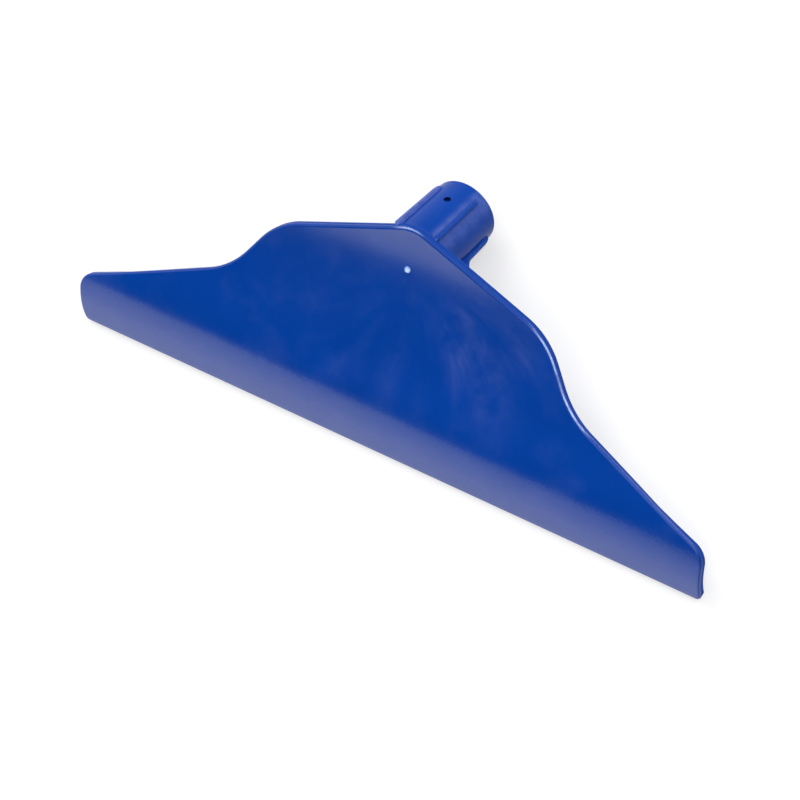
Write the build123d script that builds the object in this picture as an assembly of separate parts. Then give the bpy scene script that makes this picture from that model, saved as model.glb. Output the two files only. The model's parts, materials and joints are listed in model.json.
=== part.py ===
from build123d import *
import math
import os

# Blade outline, in the blade's own frame:
# X along the scraping edge, Y up the blade from the bend, Z out of the front face
blade_width = 350.0
wing_end_height = -12.1
foot_half_width = 94.8
foot_height = 22.1
shoulder_half_width = 74.1
shoulder_height = 51.6
wing_corner_radius = 10.5
foot_radius = 44.0
shoulder_radius = 38.0
crown_radius = 20.0

# Blade section: above the bend the plate bows forward, below it the lip curls back
blade_thickness = 4.3
plate_bow_radius = 165.0
lip_curl_radius = 43.0
lip_length = 43.0
lip_corner_radius = 2.7
front_rim_radius = 1.5
back_rim_bevel = 0.35

# Handle socket, a tapered tube that leans up and back from behind the crown
handle_diameter = 28.0
handle_clearance = 0.4
socket_wall = 2.4
socket_draft = 0.8
socket_length = 47.0
socket_height = 58.8
socket_slope = 56.1
socket_floor = 2.5
crown_margin = 0.5
mouth_bevel_across = 0.6
mouth_bevel_along = 0.3
mouth_lead_in = 0.6
screw_hole_diameter = 3.2
screw_hole_setback = 15.1

# Flare at the socket's root, where the tube grows out of the blade's back
flare_radius = 2.5
flare_toe_trim = 0.4
flare_crown_reach = 0.15

# Ribs along the outside of the socket, evenly spaced with the screw hole midway between two
rib_width = 2.6
rib_mouth_height = 1.75
rib_root_height = 2.35
rib_setback = 3.8
rib_nose_radius = 4.5
rib_edge_bevel = 0.5
rib_run_out = 32.0

# Gussets, into which the ribs with the blade behind them spread
gusset_setback = 24.0
gusset_spread = 35.0
gusset_radius = 8.0

# Mark left by the moulding gate, a low stub on the front face
gate_height = 56.2
gate_diameter = 3.8
gate_top_diameter = 2.4
gate_rise = 0.5

# Sizes that follow from those above
half_width = blade_width / 2
lip_turn = lip_length / lip_curl_radius
back_bow_radius = plate_bow_radius + blade_thickness
back_curl_radius = lip_curl_radius - blade_thickness
bore_radius = (handle_diameter + handle_clearance) / 2
mouth_radius = bore_radius + socket_wall
draft_rate = math.tan(math.radians(socket_draft))
root_radius = mouth_radius + socket_length * draft_rate
mouth_edge_radius = mouth_radius + mouth_bevel_along * draft_rate
mouth_corners = [(mouth_radius - mouth_bevel_across, 0), (mouth_edge_radius, mouth_bevel_along)]
beyond_root = socket_length + root_radius
crown_height = socket_height + root_radius + crown_margin
beyond_blade = 2 * blade_width
match = 0.01

# Frame of the socket: origin at the middle of the mouth, Z into the socket, Y towards the screw hole
slope = math.radians(socket_slope)
out_of_mouth = Vector(0, math.cos(slope), -math.sin(slope))
socket_front = Vector(0, socket_height, plate_bow_radius - math.sqrt(plate_bow_radius**2 - socket_height**2))
mouth_centre = socket_front + out_of_mouth * socket_length
socket_frame = Plane(mouth_centre, x_dir=(1, 0, 0), z_dir=-out_of_mouth)

# Depth of the bore, which stops short of the blade's back on the side where the blade comes nearest
socket_lean = math.pi / 2 - slope - math.asin(socket_height / plate_bow_radius)
blade_along_bore = blade_thickness / math.cos(socket_lean) + bore_radius * math.tan(socket_lean)
bow_across_bore = bore_radius**2 / (2 * back_bow_radius)
bore_depth = socket_length - blade_along_bore - bow_across_bore - socket_floor

# Plane of the blade's section: its x is the blade's Y, and its y is the blade's Z
section = Plane((0, 0, 0), x_dir=(0, 1, 0), z_dir=(1, 0, 0))
# Plane of a profile about the socket: its x is the radius, and its y is the depth from the mouth
radial = Plane((0, 0, 0), x_dir=(1, 0, 0), z_dir=(0, -1, 0))
on_end = (Align.CENTER, Align.CENTER, Align.MIN)


def rounded_corners(face, corners):
    """A flat face with the given corners rounded, each on both sides of the middle line if it has two."""
    for (x, y), radius in corners:
        found = [v for v in face.vertices() if math.dist((abs(v.X), v.Y), (x, y)) < match]
        face = fillet(found, radius)
    return face


def outline_prism():
    """Front view of the whole blade, drawn through the blade's depth."""
    below_lip = -lip_curl_radius - blade_thickness
    wing = (half_width, wing_end_height)
    foot = (foot_half_width, foot_height)
    shoulder = (shoulder_half_width, shoulder_height)
    crown = (0, crown_height)
    right_side = [(half_width, below_lip), wing, foot, shoulder]
    left_side = [(-x, y) for x, y in reversed(right_side)]
    face = make_face(Polyline(*right_side, crown, *left_side, close=True))
    corners = [
        (wing, wing_corner_radius),
        (foot, foot_radius),
        (shoulder, shoulder_radius),
        (crown, crown_radius),
    ]
    return extrude(rounded_corners(face, corners), amount=plate_bow_radius / 2, both=True)


def front_face(arc, outline):
    """Front surface of the blade along an arc of its section, trimmed to the outline."""
    edge = (section * arc).edges()[0].moved(Location((-beyond_blade / 2, 0, 0)))
    return (Face.extrude(edge, (beyond_blade, 0, 0)) & outline).faces()[0]


def behind(face):
    """The blade's thickness laid behind a front surface, square to it."""
    return thicken(face, amount=blade_thickness, normal_override=(0, 0, -1))


def free_edges(solid, radius):
    """Edges of the curved face of that radius, without the one at the bend."""
    edges = []
    for face in solid.faces().filter_by(GeomType.CYLINDER):
        if abs(face.radius - radius) < match:
            edges += [e for e in face.edges() if max(abs((e @ t).Y) for t in (0, 0.5, 1)) > match]
    return edges


def finished_rim(solid, front_radius, back_radius):
    """The free edges of the blade rounded at its front face and bevelled at its back face."""
    solid = fillet(free_edges(solid, front_radius), front_rim_radius)
    return chamfer(free_edges(solid, back_radius), back_rim_bevel)


def blade_plate(outline):
    """Upper part of the blade, bowed forward, with its feet, shoulders and crown."""
    reach = math.degrees(math.asin((crown_height + blade_thickness) / plate_bow_radius))
    bow = CenterArc((0, plate_bow_radius), plate_bow_radius, -90, reach)
    return finished_rim(behind(front_face(bow, outline)), plate_bow_radius, back_bow_radius)


def scraping_lip(outline):
    """Lower part of the blade, curled back to the scraping edge, with its bottom corners rounded."""
    curl = CenterArc((0, -lip_curl_radius), lip_curl_radius, 90, math.degrees(lip_turn))
    solid = behind(front_face(curl, outline))
    half_way_down = -lip_curl_radius * math.sin(lip_turn) / 2
    through = solid.edges().filter_by(lambda e: abs(e.length - blade_thickness) < match)
    solid = fillet(through.filter_by(lambda e: e.center().Y < half_way_down), lip_corner_radius)
    return finished_rim(solid, lip_curl_radius, back_curl_radius)


def bow_cylinder(radius):
    """Cylinder about the axis of the plate's bow, which fills all in front of that radius."""
    return Pos(0, 0, plate_bow_radius) * Rot(Y=-90) * Cylinder(radius, beyond_blade)


def socket_cone():
    """Outside of the socket's tube, filled, from its bevelled mouth to beyond the blade."""
    end = (mouth_radius + beyond_root * draft_rate, beyond_root)
    profile = make_face(Polyline((0, 0), *mouth_corners, end, (0, beyond_root), close=True))
    return socket_frame * revolve(radial * profile, Axis.Z)


def flared_socket():
    """The socket's tube, filled, with the flare that blends it into the blade's back below the crown."""
    around_root = socket_frame * Pos(0, 0, socket_length) * Box(*[4 * root_radius] * 3)
    slab = (bow_cylinder(back_bow_radius) - bow_cylinder(plate_bow_radius)) & around_root
    body = slab + (socket_cone() - bow_cylinder(plate_bow_radius))
    root = []
    for edge in body.edges():
        middle = edge @ 0.5
        off_back = math.hypot(middle.Y, middle.Z - plate_bow_radius) - back_bow_radius
        off_tube = (middle - mouth_centre).cross(out_of_mouth).length - root_radius
        if abs(off_back) < match and abs(off_tube) < flare_radius:
            root.append(edge)
    flared = fillet(root, flare_radius)
    toe_radius = root_radius + flare_radius - flare_toe_trim
    crown_side = root_radius + flare_crown_reach
    shift = (toe_radius**2 - crown_side**2) / (2 * crown_side)
    within_toe = socket_frame * Cylinder(toe_radius, beyond_blade)
    below_crown = socket_frame * Pos(0, -shift, 0) * Cylinder(crown_side + shift, beyond_blade)
    return (flared & within_toe & below_crown) - bow_cylinder(back_bow_radius)


def handle_socket(outside):
    """The socket with its blind bore for the handle and the hole for the handle's screw."""
    bore = Cylinder(bore_radius, bore_depth, align=on_end)
    lead_in = Cone(bore_radius + mouth_lead_in, bore_radius, mouth_lead_in, align=on_end)
    to_top = Pos(0, 0, screw_hole_setback) * Rot(X=-90)
    screw_hole = to_top * Cylinder(screw_hole_diameter / 2, 2 * root_radius, align=on_end)
    return outside - socket_frame * (bore + lead_in + screw_hole)


def depth_at_back(radius, rise, angle):
    """Depth from the mouth where a line along the socket, rising from a radius, meets the blade's back."""
    up = math.cos(math.radians(angle))
    start = socket_frame.from_local_coords((0, radius * up, 0)) - Vector(0, 0, plate_bow_radius)
    step = socket_frame.z_dir + socket_frame.y_dir * (rise * up)
    across = start.Y * step.Y + start.Z * step.Z
    short = across**2 - step.dot(step) * (start.Y**2 + start.Z**2 - back_bow_radius**2)
    return -(across + math.sqrt(short)) / step.dot(step)


def socket_rib(angle, spreads, outside, blade):
    """One rib on the socket, at an angle round it from the screw hole towards +X."""
    inside = root_radius / 2
    mouth_top = mouth_radius + rib_mouth_height
    rise = (root_radius + rib_root_height - mouth_top) / (socket_length - rib_setback)
    nose = (mouth_top, rib_setback)
    setback = gusset_setback if spreads else depth_at_back(mouth_top - rib_setback * rise, rise, angle)
    knee = (mouth_top + (setback - rib_setback) * rise, setback)
    slant = math.tan(math.radians(gusset_spread if spreads else -rib_run_out))
    reach = beyond_root if spreads else socket_length
    end = (knee[0] + (reach - setback) * slant, reach)
    profile = make_face(Polyline((inside, rib_setback), nose, knee, end, (inside, reach), close=True))
    profile = rounded_corners(profile, [(nose, rib_nose_radius)] + [(knee, gusset_radius)] * spreads)
    solid = extrude(radial * profile, amount=rib_width / 2, both=True)
    on_flank = solid.edges().filter_by(lambda e: abs((e @ 0).Y) > match and abs((e @ 0 - e @ 1).Y) < match)
    top = on_flank.filter_by(lambda e: (e @ 0.5).X > mouth_radius and (e @ 0.5).Z < reach - match)
    placed = socket_frame * Rot(Z=90 - angle) * chamfer(top, rib_edge_bevel)
    if spreads:
        return placed - bow_cylinder(back_bow_radius) - outside
    return placed - bow_cylinder(plate_bow_radius) - blade - outside


def gate_pip():
    """Low stub left by the gate, on the front face at the middle of the blade."""
    root = Cylinder(gate_diameter / 2, 2 * gate_rise)
    stub = Cone(gate_diameter / 2, gate_top_diameter / 2, gate_rise, align=on_end)
    bow_angle = math.degrees(math.asin(gate_height / plate_bow_radius))
    on_face = Pos(0, 0, plate_bow_radius) * Rot(X=bow_angle) * Pos(0, 0, -plate_bow_radius)
    return on_face * (Pos(0, 0, -gate_rise) * root + stub) & bow_cylinder(plate_bow_radius)


def scraper():
    """Every piece of the scraper in the blade's own frame, by name."""
    outline = outline_prism()
    outside = flared_socket()
    pieces = {
        "blade_plate": blade_plate(outline),
        "scraping_lip": scraping_lip(outline),
        "handle_socket": handle_socket(outside),
        "gate_pip": gate_pip(),
    }
    spreading = {
        "upper_right": False,
        "side_right": True,
        "under": True,
        "side_left": True,
        "upper_left": False,
    }
    pitch = 360 / len(spreading)
    for index, (place, spreads) in enumerate(spreading.items()):
        angle = (index + 0.5) * pitch
        pieces[f"socket_rib_{place}"] = socket_rib(angle, spreads, outside, pieces["blade_plate"])
    return pieces


def resting_place(pieces):
    """Turn and shift that lay the lip's heel and the socket's mouth on the ground, about the origin."""
    heel_reach = back_curl_radius + back_rim_bevel
    heel_y = -heel_reach * math.sin(lip_turn)
    heel_z = heel_reach * math.cos(lip_turn) - lip_curl_radius
    under_mouth = [socket_frame.from_local_coords((0, -radius, depth)) for radius, depth in mouth_corners]
    fall = min(math.atan2(corner.Z - heel_z, corner.Y - heel_y) for corner in under_mouth)
    turn = Rot(X=-math.degrees(fall))
    box = (turn * Compound(list(pieces.values()))).bounding_box()
    return Pos(-box.center().X, -box.center().Y, -box.min.Z) * turn


os.makedirs("parts", exist_ok=True)
pieces = scraper()
place = resting_place(pieces)
for name, solid in pieces.items():
    export_step(place * solid, f"parts/{name}.step")
    print(name, round(solid.volume, 1), "mm3")
resting_socket = Plane(place * socket_frame.location)
hole_centre = resting_socket.from_local_coords((0, bore_radius + socket_wall / 2, screw_hole_setback))
print("blade turned by", place.orientation.X, "about X and shifted by", place.position)
print("mouth at", resting_socket.origin, "with the bore into", resting_socket.z_dir, "for", bore_depth)
print("screw hole at", hole_centre, "out along", resting_socket.y_dir)
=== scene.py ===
"""A moulded plastic scraper head for stable and farmyard work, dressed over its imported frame."""
from __future__ import annotations

import json
import logging
import math
from dataclasses import dataclass, field
from enum import Enum
from typing import Any, Sequence, Union

import bmesh
import bpy
import numpy as np
from bpy.types import Material, NodeSocket, Object, World
from mathutils import Matrix, Vector, noise

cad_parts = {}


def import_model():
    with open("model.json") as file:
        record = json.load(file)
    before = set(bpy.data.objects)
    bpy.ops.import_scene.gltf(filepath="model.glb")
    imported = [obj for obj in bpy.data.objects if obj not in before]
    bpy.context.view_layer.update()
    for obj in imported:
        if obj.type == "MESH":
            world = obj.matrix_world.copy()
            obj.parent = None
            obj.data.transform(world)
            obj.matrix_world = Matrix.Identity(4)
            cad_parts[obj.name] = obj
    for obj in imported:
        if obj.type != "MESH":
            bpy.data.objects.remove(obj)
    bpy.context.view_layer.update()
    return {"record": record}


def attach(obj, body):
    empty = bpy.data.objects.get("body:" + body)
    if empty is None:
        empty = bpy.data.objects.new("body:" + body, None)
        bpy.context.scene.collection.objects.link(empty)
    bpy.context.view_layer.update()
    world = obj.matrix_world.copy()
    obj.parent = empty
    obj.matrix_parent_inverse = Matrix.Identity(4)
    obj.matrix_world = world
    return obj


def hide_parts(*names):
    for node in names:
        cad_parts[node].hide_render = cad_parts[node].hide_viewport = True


log = logging.getLogger("scraper")
MM = 0.001
BODY = "root"
NOISE_MEAN = 0.5
BLACK = (0.0, 0.0, 0.0)
WHITE = (1.0, 1.0, 1.0)


class Slot(Enum):
    """Material slots of the record."""

    BLUE = "blue_polypropylene"
    WHITENED = "whitened_polypropylene"


@dataclass(frozen=True)
class Ramp:
    """Eased way from low at the start to high at the end."""

    start: float
    end: float
    low: float = 0.0
    high: float = 1.0


@dataclass(frozen=True)
class Grain:
    """Cloudy noise: clouds to a millimetre, their detail and roughness, and a ramp to put it through."""

    scale: float
    detail: float = 3.0
    roughness: float = 0.5
    ramp: Union[Ramp, None] = None


@dataclass
class Wire:
    """One output of a shader node, used in sums as if it were a number, a vector or a colour."""

    sheet: Sheet
    socket: NodeSocket

    def _sum(self, operation: str, first: Any, second: Any) -> Wire:
        """A sum of two values, one of them this wire, in the node that suits them.

        Args:
            operation: The node's name for the kind of sum.
            first: The first value.
            second: The second value.

        Returns:
            The sum.
        """
        kinds = [value.socket.type if isinstance(value, Wire) else type(value) for value in (first, second)]
        kind = "VectorMath" if "VECTOR" in kinds or tuple in kinds else "Math"
        return self.sheet.node(kind, {"operation": operation}, {0: first, 1: second})

    def __add__(self, other: Any) -> Wire:
        """This wire and the other value added up."""
        return self._sum("ADD", self, other)

    def __sub__(self, other: Any) -> Wire:
        """This wire less the other value."""
        return self._sum("SUBTRACT", self, other)

    def __rsub__(self, other: Any) -> Wire:
        """The other value less this wire."""
        return self._sum("SUBTRACT", other, self)

    def __mul__(self, other: Any) -> Wire:
        """This wire times the other value."""
        return self._sum("MULTIPLY", self, other)

    __radd__ = __add__
    __rmul__ = __mul__

    def eased(self, ramp: Ramp) -> Wire:
        """This value put through a ramp, level before its start and beyond its end."""
        span = {"From Min": ramp.start, "From Max": ramp.end, "To Min": ramp.low, "To Max": ramp.high}
        return self.sheet.node("MapRange", {"interpolation_type": "SMOOTHSTEP"}, {"Value": self, **span})

    def about_one(self, swing: float) -> Wire:
        """This noise as a factor that is 1 on the whole."""
        return 1.0 + (self - NOISE_MEAN) * swing

    def blend(self, low: Any, high: Any) -> Wire:
        """Colour between low and high by this wire as the share of high."""
        settings = {"data_type": "RGBA", "blend_type": "MIX"}
        return self.sheet.node("Mix", settings, {"Factor": self, 6: low, 7: high}, output=2)

    def part(self, axis: str) -> Wire:
        """One coordinate of this vector, by its letter."""
        return self.sheet.node("SeparateXYZ", {}, {"Vector": self}, output=axis)

    def away(self, point: tuple) -> Wire:
        """Distance of this place from a point."""
        return self.sheet.node("VectorMath", {"operation": "DISTANCE"}, {0: self, 1: point}, output="Value")

    def noise(self, grain: Grain) -> Wire:
        """Cloudy noise at this place.

        Args:
            grain: Its settings.

        Returns:
            The noise, from 0 to 1 unless its ramp says otherwise.
        """
        values = {"Vector": self, "Scale": grain.scale, "Detail": grain.detail, "Roughness": grain.roughness}
        cloud = self.sheet.node("TexNoise", {"normalize": True}, values)
        return cloud if grain.ramp is None else cloud.eased(grain.ramp)


class Sheet:
    """Node tree of one material or world."""

    def __init__(self, owner: Union[Material, World]) -> None:
        """Empties the owner's node tree, to be filled anew.

        Args:
            owner: The material or world.
        """
        owner.use_nodes = True
        self.tree = owner.node_tree
        self.tree.nodes.clear()

    def node(self, kind: str, settings: dict, values: dict, output: Union[int, str] = 0) -> Wire:
        """Adds one node.

        Args:
            kind: Type of the node, without the ShaderNode in front.
            settings: Attributes of the node, which are set first.
            values: Wires or plain values for its inputs, by name or number.
            output: Name or number of the output to use.

        Returns:
            The wire from that output.
        """
        made = self.tree.nodes.new("ShaderNode" + kind)
        for name, value in settings.items():
            setattr(made, name, value)
        for name, value in values.items():
            entry = made.inputs[name]
            if isinstance(value, Wire):
                self.tree.links.new(value.socket, entry)
            elif isinstance(value, tuple) and entry.type == "RGBA":
                entry.default_value = (*value, 1.0)
            else:
                entry.default_value = value
        return Wire(self, made.outputs[output]) if len(made.outputs) else Wire(self, made.inputs[0])

    def place(self) -> Wire:
        """Place on the object, in millimetres of the row frame."""
        return self.node("TexCoord", {}, {}, output="Object") * (1 / MM, 1 / MM, 1 / MM)

    def surface(self, values: dict) -> None:
        """Ends the tree of a material with a surface of these values."""
        self.node("OutputMaterial", {}, {"Surface": self.node("BsdfPrincipled", {}, values)})


@dataclass(frozen=True)
class PaintedHighlight:
    """Place of painted highlight or painted sheen, pale colour standing in for light, in millimetres of the
    row frame, with its reach and its strength.
    """

    place: tuple
    reach: float
    strength: float


@dataclass(frozen=True)
class Scratches:
    """Fine scratches in a few directions, each with its turn and seed, broken up so that they are short."""

    runs: tuple = ((0.35, 3.1), (-0.6, 17.7), (1.2, 41.3))
    stretch: tuple = (0.02, 1.4, 0.4)
    line: Grain = Grain(1.0, 2.0, 0.5, Ramp(0.70, 0.76))
    gaps: Grain = Grain(0.03, 1.0, 0.5, Ramp(0.52, 0.62))

    def amount(self, place: Wire) -> Wire:
        """How scratched a place is.

        Args:
            place: The place, in millimetres.

        Returns:
            The amount, 0 between the scratches.
        """
        total: Any = 0.0
        for turn, seed in self.runs:
            values = {"Vector": place, "Angle": turn}
            turned = place.sheet.node("VectorRotate", {"rotation_type": "Z_AXIS"}, values)
            line = (turned * self.stretch + (seed, seed, seed)).noise(self.line)
            total = total + line * (turned + (seed, 0.0, 0.0)).noise(self.gaps)
        return total


@dataclass(frozen=True)
class Wipes:
    """Soft pale strokes that fan out from the gate, mostly to the right below it. Angles are in radians."""

    curl: float = 0.004
    strokes_round: float = 3.6
    strokes_along: float = 0.010
    strokes: Grain = Grain(1.0, 4.0, 0.6, Ramp(0.38, 0.70))
    cloud: Grain = Grain(0.05, 3.0, 0.55, Ramp(0.30, 0.62))
    fan_opens: Ramp = Ramp(-1.25, -0.6)
    fan_closes: Ramp = Ramp(-0.15, 0.2, 1.0, 0.0)
    begins: Ramp = Ramp(12.0, 36.0)
    ends: Ramp = Ramp(58.0, 100.0, 1.0, 0.0)
    beside_fan: float = 0.18

    def amount(self, place: Wire, gate: tuple) -> Wire:
        """How wiped a place is.

        Args:
            place: The place, in millimetres.
            gate: Middle of the fan.

        Returns:
            The amount, from 0 to 1.
        """
        away, sheet = place - gate, place.sheet
        angle = sheet.node("Math", {"operation": "ARCTAN2"}, {0: away.part("Y"), 1: away.part("X")})
        reach = sheet.node("VectorMath", {"operation": "LENGTH"}, {0: away}, output="Value")
        turned = (angle + reach * self.curl) * self.strokes_round
        spread = sheet.node("CombineXYZ", {}, {"X": turned, "Y": reach * self.strokes_along, "Z": 0.0})
        strokes = spread.noise(self.strokes) * place.noise(self.cloud)
        fan = angle.eased(self.fan_opens) * angle.eased(self.fan_closes)
        span = reach.eased(self.begins) * reach.eased(self.ends)
        return strokes * span * (self.beside_fan + (1 - self.beside_fan) * fan)


@dataclass(frozen=True)
class MouldedPlastic:
    """Glossy plastic as it comes from the mould, lightly worn, with painted highlights and painted sheen
    where given. Lengths are millimetres of the row frame.
    """

    name: str
    colour: tuple = (0.0015, 0.047, 0.32)
    deep_colour: tuple = (0.001, 0.043, 0.295)
    # Colour of scuff marks. It is also used as painted sheen on the lip and along the socket.
    scuff_and_sheen_colour: tuple = (0.15, 0.20, 0.52)
    # Pale colour of the painted highlights: colour standing in for glints of lamplight.
    painted_highlight_colour: tuple = (0.46, 0.60, 1.0)
    roughness: float = 0.18
    specular: float = 0.5
    refraction: float = 1.45
    cloud: Grain = Grain(0.022, 4.0, 0.55, Ramp(0.3, 0.7))
    haze_and_sheen: Grain = Grain(0.11, 5.0, 0.6)
    haze_roughening: float = 0.10
    peel: Grain = Grain(0.9, 2.0, 0.5)
    peel_height: float = 0.004
    sink: Grain = Grain(0.03, 1.0, 0.4)
    sink_height: float = 0.20
    scratches: Scratches = Scratches()
    scratching: float = 0.2
    scratch_roughening: float = 0.12
    scratch_scuffing: float = 0.10
    scratch_depth: float = 0.006
    specks_per_mm: float = 0.05
    speck_edge: Ramp = Ramp(0.012, 0.025, 0.7, 0.0)
    dark_speck_share: float = 0.3
    pale_speck_share: float = 0.5
    pale_speck_shift: tuple = (57.0, 23.0, 0.0)
    mottle: Grain = Grain(0.05, 5.0, 0.62, Ramp(0.44, 0.80))
    mottle_shift: tuple = (31.0, 7.0, 0.0)
    mottling: float = 0.0
    gate: Union[tuple, None] = None
    wipes: Wipes = Wipes()
    wiping: float = 0.18
    wipe_roughening: float = 0.08
    bend: Union[float, None] = None
    # Partly wear and partly painted reflection: the lip grows paler towards its edge, as the sheen of a
    # bright floor before it would make it.
    lip_scuffs_and_sheen: Ramp = Ramp(13.5, 28.0)
    lip_scuffing_and_sheen: float = 0.5
    lip_haze: float = 0.4
    lip_wear: Ramp = Ramp(8.0, 22.0)
    lip_roughening: float = 0.34
    grit: Grain = Grain(2.5, 1.0, 0.5)
    lip_grit: float = 3.0
    # Painted highlights: pale spots in the base colour where light would glint, broken up by a patchy mask.
    painted_highlights: tuple = ()
    highlight_core: float = 0.1
    highlight_patches: Grain = Grain(0.35, 3.0, 0.6, Ramp(0.25, 0.6, 0.55, 1.0))

    def material(self) -> Material:
        """The finish as a material.

        Returns:
            The material.
        """
        made = bpy.data.materials.new(self.name)
        sheet = Sheet(made)
        place = sheet.place()
        haze_and_sheen = place.noise(self.haze_and_sheen)
        scratches = self.scratches.amount(place) * self.scratching
        colour = place.noise(self.cloud).blend(self.deep_colour, self.colour)
        gloss = self.roughness + (haze_and_sheen - NOISE_MEAN) * self.haze_roughening
        gloss = gloss + scratches * self.scratch_roughening
        scuffs_and_sheen = scratches * self.scratch_scuffing
        if self.mottling > 0.0:
            scuffs_and_sheen = scuffs_and_sheen + (place + self.mottle_shift).noise(self.mottle) * self.mottling
            scuffs_and_sheen = scuffs_and_sheen + self._specks(place + self.pale_speck_shift) * self.pale_speck_share
        if self.gate is not None:
            wipes = self.wipes.amount(place, self.gate)
            scuffs_and_sheen = scuffs_and_sheen + wipes * self.wiping
            gloss = gloss + wipes * self.wipe_roughening
        if self.bend is not None:
            down = self.bend - place.part("Y")
            grit = place.noise(self.grit).about_one(self.lip_grit)
            # The lip is painted paler towards its edge, partly as wear and partly as a painted reflection of
            # the bright floor.
            scuffs_and_sheen = scuffs_and_sheen + down.eased(self.lip_scuffs_and_sheen) * haze_and_sheen.about_one(self.lip_haze) * self.lip_scuffing_and_sheen
            gloss = gloss + down.eased(self.lip_wear) * grit * self.lip_roughening
        colour = scuffs_and_sheen.blend(colour, self.scuff_and_sheen_colour)
        dark = tuple(self.dark_speck_share * part for part in self.deep_colour)
        colour = self._specks(place).blend(colour, dark)
        # Painted highlights on the rim and painted sheen along the socket, blended into the base colour.
        if self.painted_highlights:
            colour = self._painted_highlight_amount(place).blend(colour, self.painted_highlight_colour)
        height = place.noise(self.peel) * self.peel_height + place.noise(self.sink) * self.sink_height
        bumps = {"Strength": 1.0, "Distance": MM, "Height": height - scratches * self.scratch_depth}
        sheet.surface({"Base Color": colour, "Roughness": gloss, "Normal": sheet.node("Bump", {}, bumps),
                       "IOR": self.refraction, "Specular IOR Level": self.specular})
        return made

    def _painted_highlight_amount(self, place: Wire) -> Wire:
        """How far a place carries painted highlight or painted sheen.

        Args:
            place: The place, in millimetres.

        Returns:
            The amount, from 0 to 1.
        """
        total: Any = 0.0
        for painted_spot in self.painted_highlights:
            fading = Ramp(self.highlight_core * painted_spot.reach, painted_spot.reach, painted_spot.strength, 0.0)
            total = total + place.away(painted_spot.place).eased(fading)
        return total * place.noise(self.highlight_patches)

    def _specks(self, place: Wire) -> Wire:
        """How far a place lies in one of a few small specks.

        Args:
            place: The place, in millimetres.

        Returns:
            The amount, from 0 to 1.
        """
        settings = {"feature": "F1", "distance": "EUCLIDEAN"}
        values = {"Vector": place, "Scale": self.specks_per_mm, "Randomness": 1.0}
        return place.sheet.node("TexVoronoi", settings, values, output="Distance").eased(self.speck_edge)


@dataclass(frozen=True)
class WhitenedPlastic:
    """Plastic torn and whitened by stress, as where a moulding gate was broken off, palest in its middle."""

    name: str
    middle: tuple
    radius: float
    colour: tuple = (0.16, 0.34, 0.80)
    pale_colour: tuple = (0.55, 0.75, 1.0)
    fading: tuple = (0.5, 1.05)
    torn: Grain = Grain(1.1, 3.0, 0.6)
    torn_height: float = 0.15
    bump_strength: float = 0.6
    roughness: float = 0.45
    torn_roughening: float = 0.2
    refraction: float = 1.49

    def material(self) -> Material:
        """The finish as a material.

        Returns:
            The material.
        """
        made = bpy.data.materials.new(self.name)
        sheet = Sheet(made)
        place = sheet.place()
        torn = place.noise(self.torn)
        start, end = [share * self.radius for share in self.fading]
        away = place.away(self.middle) + (torn - NOISE_MEAN) * self.radius
        colour = away.eased(Ramp(start, end, 1.0, 0.0)).blend(self.colour, self.pale_colour)
        bumps = {"Strength": self.bump_strength, "Distance": MM, "Height": torn * self.torn_height}
        sheet.surface({"Base Color": colour, "Roughness": self.roughness + torn * self.torn_roughening,
                       "Normal": sheet.node("Bump", {}, bumps), "IOR": self.refraction})
        return made


@dataclass(frozen=True)
class RestingPlace:
    """Where the blade's own frame, in millimetres, lies in the row frame, in metres."""

    turn: np.ndarray
    shift: np.ndarray

    def point(self, points: np.ndarray) -> np.ndarray:
        """Points of the blade's frame, in the row frame."""
        return (points @ self.turn.T + self.shift) * MM

    def direction(self, directions: np.ndarray) -> np.ndarray:
        """Directions of the blade's frame, in the row frame."""
        return directions @ self.turn.T

    def spot(self, point: np.ndarray) -> tuple:
        """One point of the blade's frame, in millimetres of the row frame."""
        return tuple(self.point(point) / MM)


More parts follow.
